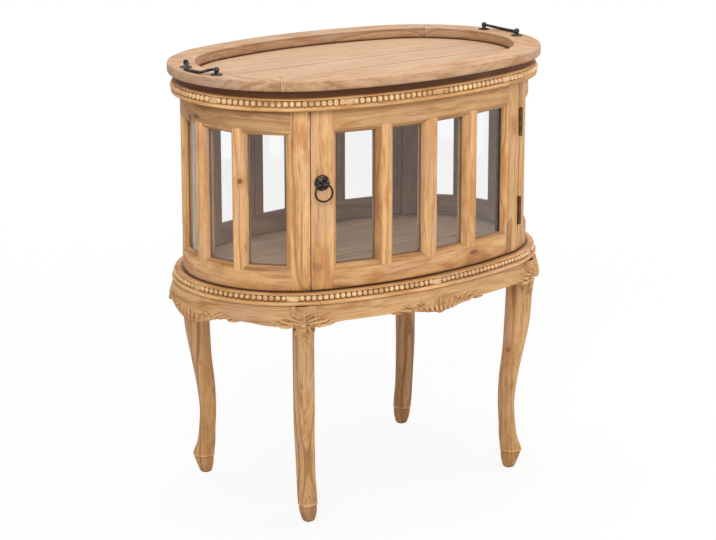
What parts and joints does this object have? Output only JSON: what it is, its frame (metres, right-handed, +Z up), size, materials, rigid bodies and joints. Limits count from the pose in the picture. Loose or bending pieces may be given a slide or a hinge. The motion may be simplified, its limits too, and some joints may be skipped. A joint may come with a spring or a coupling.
{
  "type": "bar cabinet",
  "caption": "Oval glazed wooden bar cabinet on carved cabriole legs, with one curved door, a ring pull and a lift-off tray top with drop handles.",
  "frame": {"origin": "on the floor, under the middle of the cabinet", "axes": "+X along the width towards the hinge side of the door, -Y out through the door, +Z up"},
  "size_m": [0.758, 0.494, 0.824],
  "materials": {
    "teak": "sanded, unvarnished",
    "glass": "clear, flat",
    "iron": "black, satin",
    "brass": "aged",
    "steel": "zinc plated",
    "catch": "moulded, matt"
  },
  "bodies": {
    "cabinet": {"leg_front_left": "teak", "leg_front_right": "teak", "leg_back_left": "teak", "leg_back_right": "teak", "apron_front": "teak", "apron_back": "teak", "apron_left": "teak", "apron_right": "teak", "corner_blocks": "teak", "base_board": "teak", "floor_board": "teak", "post_front_left": "teak", "post_front_right": "teak", "post_back_left": "teak", "post_back_right": "teak", "end_left_bottom_rail": "teak", "end_left_top_rail": "teak", "end_left_muntins": "teak", "end_left_beads": "teak", "end_left_glass": "glass", "end_right_bottom_rail": "teak", "end_right_top_rail": "teak", "end_right_muntins": "teak", "end_right_beads": "teak", "end_right_glass": "glass", "back_bottom_rail": "teak", "back_top_rail": "teak", "back_stiles": "teak", "back_muntins": "teak", "back_beads": "teak", "back_glass": "glass", "cornice": "teak", "top_board": "teak", "door_stop": "teak", "catch_magnet": "catch", "hinge_leaves_post": "brass", "hinge_pins": "brass", "hinge_screws_post": "steel"},
    "door": {"door_bottom_rail": "teak", "door_top_rail": "teak", "door_lock_stile": "teak", "door_hinge_stile": "teak", "door_muntins": "teak", "door_beads": "teak", "door_glass": "glass", "hinge_leaves_door": "brass", "hinge_screws_door": "steel", "catch_plate": "steel", "pull_rosette": "iron", "pull_nut": "iron"},
    "pull_ring": {"pull_ring": "iron"},
    "tray": {"tray_rim_front": "teak", "tray_rim_back": "teak", "tray_rim_left": "teak", "tray_rim_right": "teak", "tray_floor": "teak", "handle_posts": "iron", "handle_nuts": "iron"},
    "handle_left": {"handle_left": "iron"},
    "handle_right": {"handle_right": "iron"}
  },
  "joints": [
    {"name": "door_hinge", "type": "hinge", "parent": "cabinet", "child": "door", "pos_m": [0.24125, -0.18163, 0.593], "axis": [0, 0, 1], "range_deg": [0, 110]},
    {"name": "pull_ring_swing", "type": "hinge", "parent": "door", "child": "pull_ring", "pos_m": [-0.22446, -0.1973, 0.626], "axis": [-0.9418, 0.3363, 0], "range_deg": [-12, 85]},
    {"name": "tray_lift", "type": "slide", "parent": "cabinet", "child": "tray", "axis": [0, 0, 1], "range_m": [0, 0.25]},
    {"name": "handle_left_fold", "type": "hinge", "parent": "tray", "child": "handle_left", "pos_m": [-0.3445, 0, 0.819], "axis": [0, 1, 0], "range_deg": [0, 146]},
    {"name": "handle_right_fold", "type": "hinge", "parent": "tray", "child": "handle_right", "pos_m": [0.3445, 0, 0.819], "axis": [0, -1, 0], "range_deg": [0, 146]}
  ]
}
